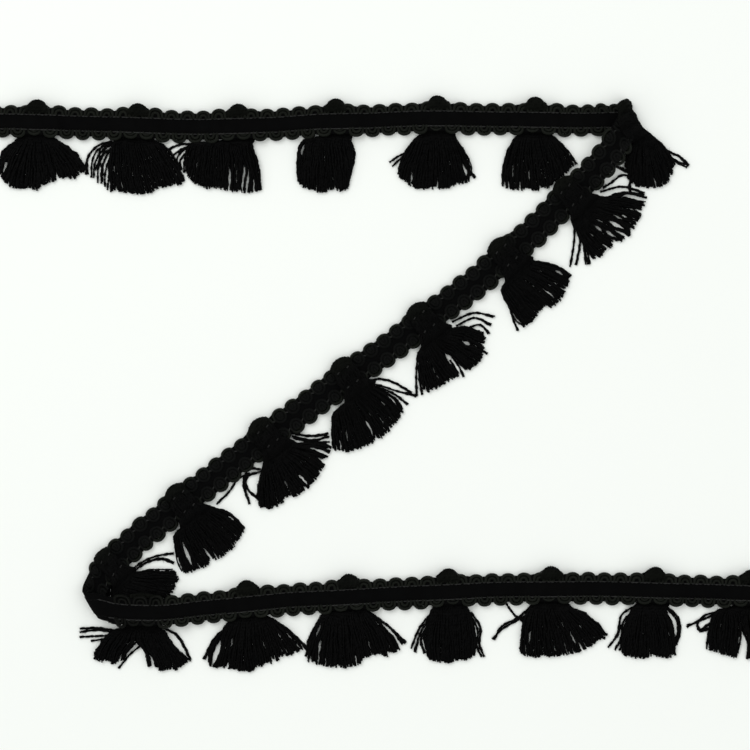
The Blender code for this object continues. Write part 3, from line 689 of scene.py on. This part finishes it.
def lines_object(name, lines):
    """Drawn lines in millimetres, each a row of points, girth, facing and a share of painted light or shade."""
    sized = [(len(line[0]), line) for line in lines]
    points = np.vstack([line[0] for line in lines]) * MM
    girth = np.concatenate([np.broadcast_to(line[1], size) for size, line in sized]) * MM
    facing = np.vstack([np.broadcast_to(line[2], (size, 3)) for size, line in sized])
    painted_light = np.concatenate([np.broadcast_to(line[3], size) for size, line in sized])
    edges = []
    start = 0
    for size, _ in sized:
        edges += [(index, index + 1) for index in range(start, start + size - 1)]
        start += size
    mesh = bpy.data.meshes.new(name)
    mesh.from_pydata(points.tolist(), edges, [])
    for kept, kind, field, values in (
        ("girth", "FLOAT", "value", girth), ("painted_light", "FLOAT", "value", painted_light),
        ("facing", "FLOAT_VECTOR", "vector", facing),
    ):
        attribute = mesh.attributes.new(kept, kind, "POINT")
        attribute.data.foreach_set(field, values.astype(np.float32).ravel())
    return placed(name + "_lines", mesh)


def grown(name, lines, tree, sizes, material):
    """The plain mesh that a tree grows on drawn lines, nowhere below the floor."""
    drawn = lines_object(name, lines)
    modifier = drawn.modifiers.new("grow", "NODES")
    modifier.node_group = tree.tree
    for key, value in {**sizes, "Material": material}.items():
        modifier[tree.names[key]] = value
    graph = bpy.context.evaluated_depsgraph_get()
    mesh = bpy.data.meshes.new_from_object(drawn.evaluated_get(graph))
    mesh.name = name
    for corner in mesh.vertices:
        corner.co.z = max(corner.co.z, FLOOR_CLEAR)
    bpy.data.objects.remove(drawn, do_unlink=True)
    return placed(name, mesh)


# The woven ground's outline: distance across, height, and 1 where it is ribbed
GROUND_SECTION = np.array([
    (-4.3, -0.1, 0), (-3.9, 0.35, 0), (-2.55, 0.40, 0), (-2.2, 0.62, 1), (-1.2, 0.68, 1), (0.0, 0.70, 1),
    (1.2, 0.68, 1), (2.45, 0.62, 1), (2.8, 0.40, 0), (4.0, 0.35, 0), (4.4, -0.1, 0), (4.0, -0.62, 0),
    (0.0, -0.7, 1), (-3.9, -0.62, 0),
])
RINGS_PER_STATION = 3
RIB_HEIGHT = 0.05
HEAD_EDGE = -3.5
PUSHED_OUT = 0.6


def ground_of_braid():
    """The flat woven ground of the heading, with its raised ribbed channel on the front."""
    across, height, ribbed = GROUND_SECTION.T
    rings = []
    for index, station in enumerate(np.linspace(0, BRAID.last, BRAID.last * RINGS_PER_STATION + 1)):
        wave = 1.0 if index % 2 else -1.0
        edge = np.where(across < HEAD_EDGE, -PUSHED_OUT * beside_a_knot(station), 0.0)
        rings.append(BRAID.place(station, across + edge, height + ribbed * RIB_HEIGHT * wave))
    size = len(GROUND_SECTION)
    faces = []
    for first in range(0, (len(rings) - 1) * size, size):
        for corner in range(size):
            following = (corner + 1) % size
            faces.append((first + corner, first + following, first + size + following, first + size + corner))
    faces.append(tuple(range(size - 1, -1, -1)))
    faces.append(tuple(range((len(rings) - 1) * size, len(rings) * size)))
    mesh = bpy.data.meshes.new("braid_ground")
    mesh.from_pydata((np.vstack(rings) * MM).tolist(), [], faces)
    mesh.materials.append(GROUND)
    mesh.shade_smooth()
    return placed("braid_ground", mesh)


# Cords of one scallop or one lobe: share of a pitch along the edge, and distance from the braid's middle
OUTER_LOOP = [
    (-0.42, 2.35), (-0.385, 2.9), (-0.37, 3.5), (-0.30, 4.2), (-0.165, 4.6), (0.0, 4.74),
    (0.165, 4.6), (0.30, 4.2), (0.37, 3.5), (0.385, 2.9), (0.42, 2.35),
]
INNER_LOOP = [
    (-0.24, 2.35), (-0.185, 2.9), (-0.165, 3.35), (0.0, 3.72), (0.165, 3.35), (0.185, 2.9), (0.24, 2.35),
]
BACK_RING = [
    (-0.37, 3.9), (-0.365, 2.8), (-0.29, 1.5), (0.0, 0.8), (0.29, 1.5), (0.365, 2.8), (0.37, 3.9),
]
BACK_HEART = [
    (-0.17, 3.9), (-0.17, 2.9), (-0.10, 2.05), (0.0, 1.85), (0.10, 2.05), (0.17, 2.9), (0.17, 3.9),
]
BACK_CORE = [(0.0, 3.9), (0.0, 3.1), (0.0, 2.6)]
# Loop, the cord's girth, and how far the loop lies from the braid's middle
EDGE_CORDS = ((OUTER_LOOP, 0.58, 0.0), (INNER_LOOP, 0.56, 0.08))
BACK_CORDS = ((BACK_RING, 0.66, 0.55), (BACK_HEART, 0.76, 0.66), (BACK_CORE, 0.72, 0.74))
PITCHES = int(BRAID.last / STATIONS_PER_PITCH)


def loop_curve(loop, per_span):
    return curve_through(np.array(loop) * [PITCH, 1.0], per_span) / [PITCH, 1.0]


def scallop_cords(side, chance):
    """Two nested loops of cord in each scallop along one edge, pushed up beside each knot, and marked for
    painted shade just past the second fold.
    """
    at_head = side < 0
    cut_clear = 1.4
    # How many stations past the second fold the painted shade reaches, and over how many it fades out
    painted_shade_reach, painted_shade_fade = 17.0, 4.0
    lines = []
    for index in range(-1, PITCHES + 1):
        middle = (index + (0.5 if at_head else 0.0)) * STATIONS_PER_PITCH
        if middle < cut_clear or middle > BRAID.last - cut_clear:
            continue
        reach = (1.01 if at_head else 1.07) + chance.uniform(-0.03, 0.03)
        if BRAID.near_roll(middle, 0.6 if at_head and middle < FOLD_ONE_START else 2.2):
            continue
        high = chance.uniform(-0.08, 0.08)
        apart = from_a_knot(middle)
        if at_head:
            reach += 0.09 * beside_a_knot(middle)
            high -= 0.35 * max(0.0, 1.0 - apart / 3.0)
        else:
            drawn_in = max(0.0, 1.0 - apart / 5.0)
            reach -= 0.26 * drawn_in
            high -= 0.45 * drawn_in
        for loop, girth, lift in EDGE_CORDS:
            curve = loop_curve(loop, 5)
            station = np.clip(middle + curve[:, 0] * STATIONS_PER_PITCH, 0.05, BRAID.last - 0.05)
            a = curve[:, 1] * np.where(curve[:, 1] > 3.0, reach, 1.0)
            points = BRAID.place(station, a * side, lift + high)
            # Painted shade: the scallops for some stations past the second fold, where the braid is lifted, are
            # marked to be darkened
            painted_shade_falloff = smooth((FOLD_TWO_END + painted_shade_reach - station) / painted_shade_fade)
            painted_shade_mask = np.where(station > FOLD_TWO_END, painted_shade_falloff, 0.0)
            lines.append((points, girth, BRAID.facing(station), painted_shade_mask))
    return lines


def back_cords(chance):
    """The plump beads of cord on the back, two rows that meet along the middle."""
    cut_clear = 1.8
    lines = []
    for side, shift in ((-1.0, 0.5), (1.0, 0.0)):
        for index in range(0, PITCHES + 1):
            middle = (index + shift) * STATIONS_PER_PITCH
            if middle < cut_clear or middle > BRAID.last - cut_clear:
                continue
            sink = chance.uniform(-0.04, 0.04)
            for loop, girth, low in BACK_CORDS:
                curve = loop_curve(loop, 3)
                station = middle + curve[:, 0] * STATIONS_PER_PITCH
                points = BRAID.place(station, curve[:, 1] * side, -low + sink)
                lines.append((points, girth, BRAID.facing(station), 0.0))
    return lines


def stitch_lines():
    """Small stitches between scallops and channel, at each lobe on the back, and on each bundle there."""
    points_each = 5
    arch = np.cos(np.linspace(-1.4, 1.4, points_each))
    lines = []
    for a in (-2.28, 2.68):
        station = np.linspace(0.3, BRAID.last - 0.3, int(BRAID.last * 4))
        wave = np.cos(station * 2 * math.pi) * 0.6 + np.cos(station * 0.77 * math.pi + a) * 0.4
        points = BRAID.place(station, a + 0.10 * wave, 0.66 + 0.34 * wave)
        girth = np.where([BRAID.near_roll(place) for place in station], 0.02, 0.20 + 0.08 * wave)
        lines.append((points, girth, BRAID.facing(station), 0.0))
    for side, shift in ((-1.0, 0.0), (1.0, 0.5)):
        for index in range(1, PITCHES):
            station = (index + shift) * STATIONS_PER_PITCH + np.linspace(-0.25, 0.25, points_each)
            points = BRAID.place(station, side * np.linspace(2.3, 2.8, points_each), -0.82 - 0.1 * arch)
            lines.append((points, 0.18, BRAID.facing(station), 0.0))
    for row, middle in zip(TASSELS, KNOTS):
        if row[2] not in ("over", "tight"):
            continue
        for a in (-2.8, 2.8):
            for shift in (-1.5, 1.3):
                station = middle + shift + np.linspace(-0.35, 0.35, points_each)
                points = BRAID.place(station, a + np.linspace(-0.15, 0.15, points_each), -2.45 - 0.12 * arch)
                lines.append((points, 0.2, BRAID.facing(station), 0.0))
    return lines


UP = np.array([0.0, 0.0, 1.0])
SCALLOP_SEED = 11
TRIM_SEED = 500

# The strands of one tassel: neighbours lie in these layers by turns, layer 0 lowest, with a girth for each
STRANDS = 140
LAYERS = (0, 2, 1, 3)
STRAND_GIRTHS = (0.52, 0.44, 0.41, 0.38)
LOOSE_GIRTH = 0.47
LOWEST_STRAND = 0.45
HIGHEST_STRAND = 2.1
USUAL_FAN = 32.0
# How many locks, bends and cut lengths there are from one side of a tassel to the other
LOCKS = 13
BOWS = 14
TRIMS = 24
# Points from a strand's tip where its waves start and where it tapers, and how far it waves
WAVY_POINTS = 22
TAPERED_POINTS = 7
FADE_POINTS = 6.0
WAVE = 0.09
# The bundle on the heading, and the round that it wraps at the first fold
HALF_BUNDLE = 3.7
WRAP_RADIUS = 3.15
WRAP_MIDDLE = 2.7


class Bundle:
    """Where one tassel crosses the heading, and how its strands spread from there."""

    def __init__(self, row):
        name, crossing, self.side, neck_a, neck_b, tips, self.strays, self.openings = row
        self.end_a, self.end_b = plan(neck_a), plan(neck_b)
        across = unit(self.end_b - self.end_a)
        spread = across * (1.2 if self.side == "over" else 0.5)
        self.end_a, self.end_b = self.end_a - spread, self.end_b + spread
        self.tips = np.array([plan(tip) for tip in tips])
        self.chance = np.random.default_rng(int(name) * 7 + 3)
        self.bows = self.chance.normal(0.0, 0.26, (len(LAYERS), BOWS))
        self.bulge = 0.0 if self.side == "tight" else 0.05
        self.fullness = min(max(lengths_along(self.tips)[-1] / USUAL_FAN, 0.94), 1.16)
        self.lean = self.chance.uniform(-0.9, 0.9)
        trim_chance = np.random.default_rng(int(name) + TRIM_SEED)
        self.trim = np.maximum(0.0, trim_chance.normal(-0.1, 0.5, TRIMS))
        self.swell = self.chance.uniform(-0.25, 0.2)
        if self.side == "fold":
            self.middle = plan(FOLD_ONE_AXIS)
            self.skirtward, self.sideways = FOLD_ONE, OUT_ONE
            return
        run = RUN_TOP if crossing[1] < UPPER_HALF else RUN_LOWER
        if self.side in ("over", "tight"):
            run = RUN_DIAGONAL
        length = nearest_length(run.points, run.along, plan(crossing))
        self.middle, self.skirtward = run.at(length), run.rib(length)
        self.sideways = np.array([self.skirtward[1], -self.skirtward[0]])
        if np.dot(self.sideways, across) < 0:
            self.sideways = -self.sideways

    def point(self, a, w, z):
        """The point at a distance towards the skirt edge, a distance sideways and a height."""
        return np.array([*(self.middle + self.skirtward * a + self.sideways * w), z])

    def points(self, rows):
        return [self.point(*row) for row in rows]

    def over_the_fold(self, a, out, up):
        """A point on the bundle that wraps the outside and the top of the first fold."""
        if out < WRAP_RADIUS:
            height = WRAP_MIDDLE + math.sqrt(WRAP_RADIUS ** 2 - max(out, 0.0) ** 2)
        else:
            height = WRAP_MIDDLE - (out - WRAP_RADIUS) * 1.6
        return self.point(a, out, max(height + up, 0.5))

    def fold_path(self, side, rows, last_share):
        """A path over the first fold, from rows of distance, middle, half width and rise."""
        found = [self.over_the_fold(a, middle + half * side, up) for a, middle, half, up in rows]
        return found + [self.point(6.6, 1.7 + 3.4 * side, last_share * found[-1][2] + 0.3)]

    def crossing_path(self, w, layer):
        """From under the knot, round it and across to the skirt edge."""
        roundness = math.sqrt(max(0.04, 1 - (w / 3.9) ** 2))
        out = 1.9 * (roundness - 1) + self.swell
        sag = 1 - roundness
        rise = 0.3 * layer
        if self.side == "fold":
            side = w / HALF_BUNDLE
            dome = 0.6 * math.sqrt(max(0.0, 1 - side * side))
            return self.fold_path(side, [
                (-4.6, 1.9, 1.4, -2.2 + rise), (-6.0, 1.9, 1.6, -1.7 + rise),
                (-6.2 - dome, 1.9, 2.0, -0.7 + rise), (-5.3, 1.85, 2.4, dome + rise),
                (-3.9, 1.5, 2.35, dome + rise), (-2.9, 0.85, 2.4, -0.35 + rise),
                (-1.2, 0.55, 3.1, 0.35 + rise), (0.4, 0.35, 3.2, 0.4 + rise), (2.0, 0.3, 3.2, -0.3 + rise),
                (3.4, 0.5, 3.2, 0.2 + rise), (5.0, 0.9, 3.2, -0.2 + rise),
            ], 0.5)
        if self.side == "under":
            slim = w * 0.82 + self.lean * roundness * 0.6
            return self.points([
                (-2.7, slim * 1.05, 2.5), (-3.3, slim * 1.15, 3.35 - 0.2 * sag),
                (-4.4, slim * 1.15, 4.05 - 0.7 * sag), (-5.7 - out * 0.6, slim, 3.65 - 1.0 * sag),
                (-6.8 - out, slim * 0.82, 2.5 + rise * 0.4 - 0.9 * sag), (-7.1 - out, slim * 0.8, 1.5),
                (-6.6 - out, slim * 0.9, 0.7), (-5.2, w, 0.5 + rise), (0, w, 0.5 + rise),
                (4.8, w * 1.4, 0.55 + rise),
            ])
        if self.side == "loop":
            return self.points([
                (-4.6, w, 3.4), (-5.6, w, 3.5), (-6.4 - out, w, 2.8), (-5.4, w, 2.25 + rise),
                (-2, w, 2.25 + rise), (1.5, w, 1.5 + rise), (4.8, w * 1.3, 0.7 + rise),
            ])
        lift = 0.62 * layer
        out = out * 0.9 - (1.1 if self.side == "tight" else 0.5)
        slip = self.chance.normal(0.0, 0.16, 4)
        bump = self.chance.normal(0.0, 0.10, 4)
        return self.points([
            (-5.2, w, 0.55), (-6.4 - out, w * 0.9, 0.75),
            (-6.9 - out - 0.2 * layer, w * 0.88, 1.7 - 0.3 * sag),
            (-6.3 - out - 0.2 * layer, w * 0.95, 2.85 + 0.4 * lift - 1.4 * sag),
            (-4.8, w * 1.04, 3.4 + 0.7 * lift - 1.2 * sag), (-3.7, w, 3.2 + 0.8 * lift - 0.8 * sag),
            (-2.8, w * 0.9, 2.62 + 0.8 * lift), (-1.5, w * 1.02 + slip[0], 3.1 + lift + bump[0]),
            (0, w * 1.05 + slip[1], 3.2 + lift + bump[1]), (1.5, w * 1.05 + slip[2], 3.1 + lift + bump[2]),
            (2.8, w * 0.98, 2.62 + 0.8 * lift), (4.1, w * 1.2 + slip[3], 2.95 + lift * 0.8),
            (5.3, w * 1.4, 2.5 + lift * 0.8), (6.4, w * 1.6, 1.5 + lift * 0.6),
        ])

    def root_path(self, w, layer):
        """The start of a strand that is hidden in the bundle."""
        if self.side == "fold":
            rows = [(2.5, 0.4, 3.2, 0.1 * layer), (5.0, 0.9, 3.2, -0.5)]
            return self.fold_path(w / HALF_BUNDLE, rows, 0.45)
        if self.side in ("over", "tight"):
            lift = 0.5 * layer
            rows = [(4.2, w * 1.3, 2.9 + lift * 0.5), (5.5, w * 1.5, 2.3 + lift), (6.5, w * 1.7, 1.1 + lift)]
        else:
            rows = [(2.4, w * 1.2, 0.5 + 0.25 * layer), (4.8, w * 1.45, 0.55 + 0.3 * layer)]
        return self.points(rows)

    def skirt_path(self, share, layer):
        """From the neck to a tip, resting lower towards the tip."""
        chance = self.chance
        neck = self.end_a + (self.end_b - self.end_a) * (0.03 + 0.94 * share)
        tip = sample(self.tips, share)
        way = tip - neck
        far = np.linalg.norm(way)
        ahead = way / far
        beside = np.array([-ahead[1], ahead[0]])
        if chance.uniform() > 0.08:
            short = abs(chance.normal(0.0, 1.1 if self.side == "tight" else 0.55))
        else:
            short = chance.uniform(1.2, 3.0)
        if layer == 0:
            short = min(short, 0.7) + 0.3
        short += self.trim[int(share * (TRIMS - 0.01))]
        tip = tip - ahead * min(short - 0.4, far * 0.5) + beside * chance.normal(0.0, 0.19)
        outward = math.copysign(1.0, np.dot(beside, self.end_b - self.end_a)) * (2 * share - 1)
        bow = np.interp(share * (BOWS - 1), np.arange(BOWS), self.bows[layer]) + chance.normal(0.0, 0.17)
        bow += outward * far * self.bulge
        wave = chance.normal(0.0, 0.18)
        upper = neck + way * 0.36 + beside * (bow + wave)
        lower = neck + (tip - neck) * 0.7 + beside * (bow - wave)
        heights = [0.5 + 0.42 * layer, 0.46 + 0.46 * layer, 0.44 + 0.34 * layer, 0.43 + 0.16 * layer]
        flats = (neck, upper, lower, tip)
        return [np.array([*flat, min(height, HIGHEST_STRAND)]) for flat, height in zip(flats, heights)]

    def part(self, curve):
        """Pushes a strand aside from each opening, which is a spindle between two ends."""
        for left, top, right, bottom, half in self.openings:
            start, end = plan((left, top)), plan((right, bottom))
            length = np.linalg.norm(end - start)
            ahead = (end - start) / length
            beside = np.array([-ahead[1], ahead[0]])
            gone = (curve[:, :2] - start) @ ahead
            aside = (curve[:, :2] - start) @ beside
            half_width = half * STEP + 0.08
            wide = half_width * np.sin(math.pi * np.clip(gone / length, 0.0, 1.0))
            widest = int(np.argmax(wide))
            if wide[widest] <= 0.0:
                continue
            reach = 3.0 * half_width
            own = 1.0 if aside[widest] >= 0.0 else -1.0
            off = np.abs(aside)
            push = np.where(aside * own >= 0.0, wide * (1.0 - off / reach), wide + np.minimum(off, wide))
            curve[:, :2] += np.where(off < reach, own * push, 0.0)[:, None] * beside

    def loose_strands(self):
        """Single strands and twin pairs that stand off the tassel."""
        lines = []
        for stray in self.strays:
            for twin in (-1, 1) if isinstance(stray, list) else (0,):
                path = [np.array([*plan(point), LOWEST_STRAND]) for point in stray]
                path[0][2] = 0.9
                for index in range(1, len(path)):
                    path[index][:2] += self.chance.normal(0.0, 0.12, 2) + twin * 0.2 * index / len(path)
                lines.append((curve_through(path, 10), LOOSE_GIRTH, UP, 0.0))
        return lines

    def strands(self):
        """Every strand of the tassel. Those of the lowest layer start at the knot and cross the heading."""
        chance = self.chance
        half = HALF_BUNDLE * (0.78 if self.side == "tight" else 1.0)
        across = STRANDS // len(LAYERS)
        lines = []
        for index in range(STRANDS):
            share = (index + 0.5) / STRANDS
            layer = LAYERS[index % len(LAYERS)]
            lock = (math.floor(share * LOCKS) + 0.5) / LOCKS
            drawn_to = share + (lock - share) * 0.06 + chance.normal(0, 0.006)
            drawn_to = float(np.clip(drawn_to, 0.0, 1.0))
            if layer == 0:
                row = index // len(LAYERS)
                path = self.crossing_path((2 * row / (across - 1) - 1) * half, row % 2)
            else:
                path = self.root_path((2 * share - 1) * half, layer % 2)
            curve = curve_through(path + self.skirt_path(drawn_to, layer), 7)
            curve[:, 2] = np.maximum(curve[:, 2], LOWEST_STRAND)
            steps = np.arange(len(curve))
            free = np.clip((steps - len(curve) + WAVY_POINTS) / FADE_POINTS, 0.0, 1.0)
            free *= 0.4 if layer == 0 else 1.0
            kinks = chance.uniform(0, WHOLE_TURN, 4)
            curve[:, 0] += WAVE * free * (np.sin(steps * 1.1 + kinks[0]) + np.sin(steps * 0.53 + kinks[1]))
            curve[:, 1] += WAVE * free * (np.sin(steps * 1.0 + kinks[2]) + np.sin(steps * 0.47 + kinks[3]))
            self.part(curve)
            girth = np.full(len(curve), STRAND_GIRTHS[layer] * self.fullness + chance.uniform(-0.03, 0.03))
            painted_light = 0.0
            if layer == 0:
                girth *= 1.0 - 0.22 * smooth((steps - len(curve) + TAPERED_POINTS) / FADE_POINTS)
                # Painted highlight: the first part of each lowest strand, where it wraps the knot, is marked to
                # be lighter
                painted_light = 0.8 * smooth(1.6 - np.linspace(0, 3.2, len(curve)))
            lines.append((curve, girth, UP, painted_light))
        return lines + self.loose_strands()


def tassel_pieces():
    turn = 2 * math.pi / (6.3 * MM)
    sizes = {"Step": 1.05 * MM, "Flatness": 0.70, "Turn": turn, "Fuzz": 300000.0, "Sides": 4}
    for row in TASSELS:
        lines = Bundle(row).strands()
        piece = grown("yarn_tassel_" + row[0], lines, TWISTED, {**sizes, "Seed": int(row[0])}, YARN)
        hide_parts("tassel_" + row[0])
        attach(piece, "root")


def heading_pieces():
    chance = np.random.default_rng(SCALLOP_SEED)
    ground = ground_of_braid()
    edge = {"Step": 0.55 * MM, "Flatness": 1.75, "Sides": 8}
    lobe = {"Step": 0.7 * MM, "Flatness": 0.78, "Sides": 6}
    stitch = {"Step": 0.45 * MM, "Flatness": 1.0, "Sides": 4}
    head = grown("scallops_head_edge", scallop_cords(-1.0, chance), CORD, edge, GIMP)
    skirt = grown("scallops_skirt_edge", scallop_cords(1.0, chance), CORD, edge, GIMP)
    back = grown("lobes_on_the_back", back_cords(chance), CORD, lobe, BACK_GIMP)
    stitches = grown("stitch_lines", stitch_lines(), CORD, stitch, THREAD)
    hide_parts("heading")
    for piece in (ground, head, skirt, back, stitches):
        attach(piece, "root")


def studio():
    """Pale floor, soft light from above and a camera straight over the trim."""
    floor_mesh = bpy.data.meshes.new("floor")
    side = 3.0
    corners = [(-side, -side, 0), (side, -side, 0), (side, side, 0), (-side, side, 0)]
    floor_mesh.from_pydata(corners, [], [(0, 1, 2, 3)])
    floor_mesh.materials.append(Cloth("pale_floor", (0.893, 0.925, 0.888), 0.9, 0.1).material)
    floor = placed("floor", floor_mesh)

    world = bpy.data.worlds.new("soft_room")
    world.use_nodes = True
    background = world.node_tree.nodes["Background"].inputs
    background["Color"].default_value = (1.0, 1.0, 1.0, 1.0)
    background["Strength"].default_value = 0.725
    bpy.context.scene.world = world
    for name, place, turn, size, power in (
        ("soft_key", (-0.5, 0.6, 1.1), (-28, -24, 0), 0.9, 6.4),
        ("soft_fill", (0.7, -0.4, 1.2), (18, 30, 0), 1.0, 2.6),
    ):
        light = bpy.data.lights.new(name, "AREA")
        light.shape = "SQUARE"
        light.size = size
        light.energy = power
        lamp = placed(name, light)
        lamp.location = place
        lamp.rotation_euler = [math.radians(angle) for angle in turn]

    height = 1.2
    view_width = 0.25
    lens = bpy.data.cameras.new("overhead")
    lens.sensor_width = 36.0
    lens.lens = lens.sensor_width * height / view_width
    lens.clip_start = 0.01
    lens.clip_end = 20.0
    camera = placed("overhead", lens)
    camera.location = (*(plan((375, 375)) * MM), height)
    bpy.context.scene.camera = camera
    bpy.context.scene.view_settings.view_transform = "Standard"


def main():
    heading_pieces()
    tassel_pieces()
    studio()


main()
